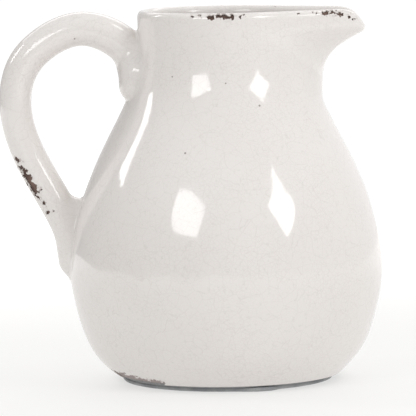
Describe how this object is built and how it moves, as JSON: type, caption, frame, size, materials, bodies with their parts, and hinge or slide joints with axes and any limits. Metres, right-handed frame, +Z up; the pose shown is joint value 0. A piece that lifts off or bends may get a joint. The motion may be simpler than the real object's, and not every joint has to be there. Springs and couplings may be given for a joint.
{
  "type": "ceramic pitcher",
  "caption": "Round-bellied stoneware pitcher with a cylindrical neck, a broad pulled lip and one tall loop handle, white crackle glaze over brown clay.",
  "frame": {"origin": "on the axis of the round body, in the plane that the foot ring stands on", "axes": "+Z up, +X towards the pouring lip, handle on the -X side"},
  "size_m": [0.2365, 0.1944, 0.2304],
  "materials": {
    "glaze": "gloss",
    "clay": "matte",
    "bare_clay": "matte"
  },
  "bodies": {
    "root": {"foot_ring": "bare_clay", "belly": "clay", "neck": "clay", "pouring_lip": "clay", "handle": "clay", "upper_handle_joint": "clay", "lower_handle_joint": "clay", "body_glaze": "glaze", "liner_glaze": "glaze", "handle_glaze": "glaze"}
  },
  "joints": []
}
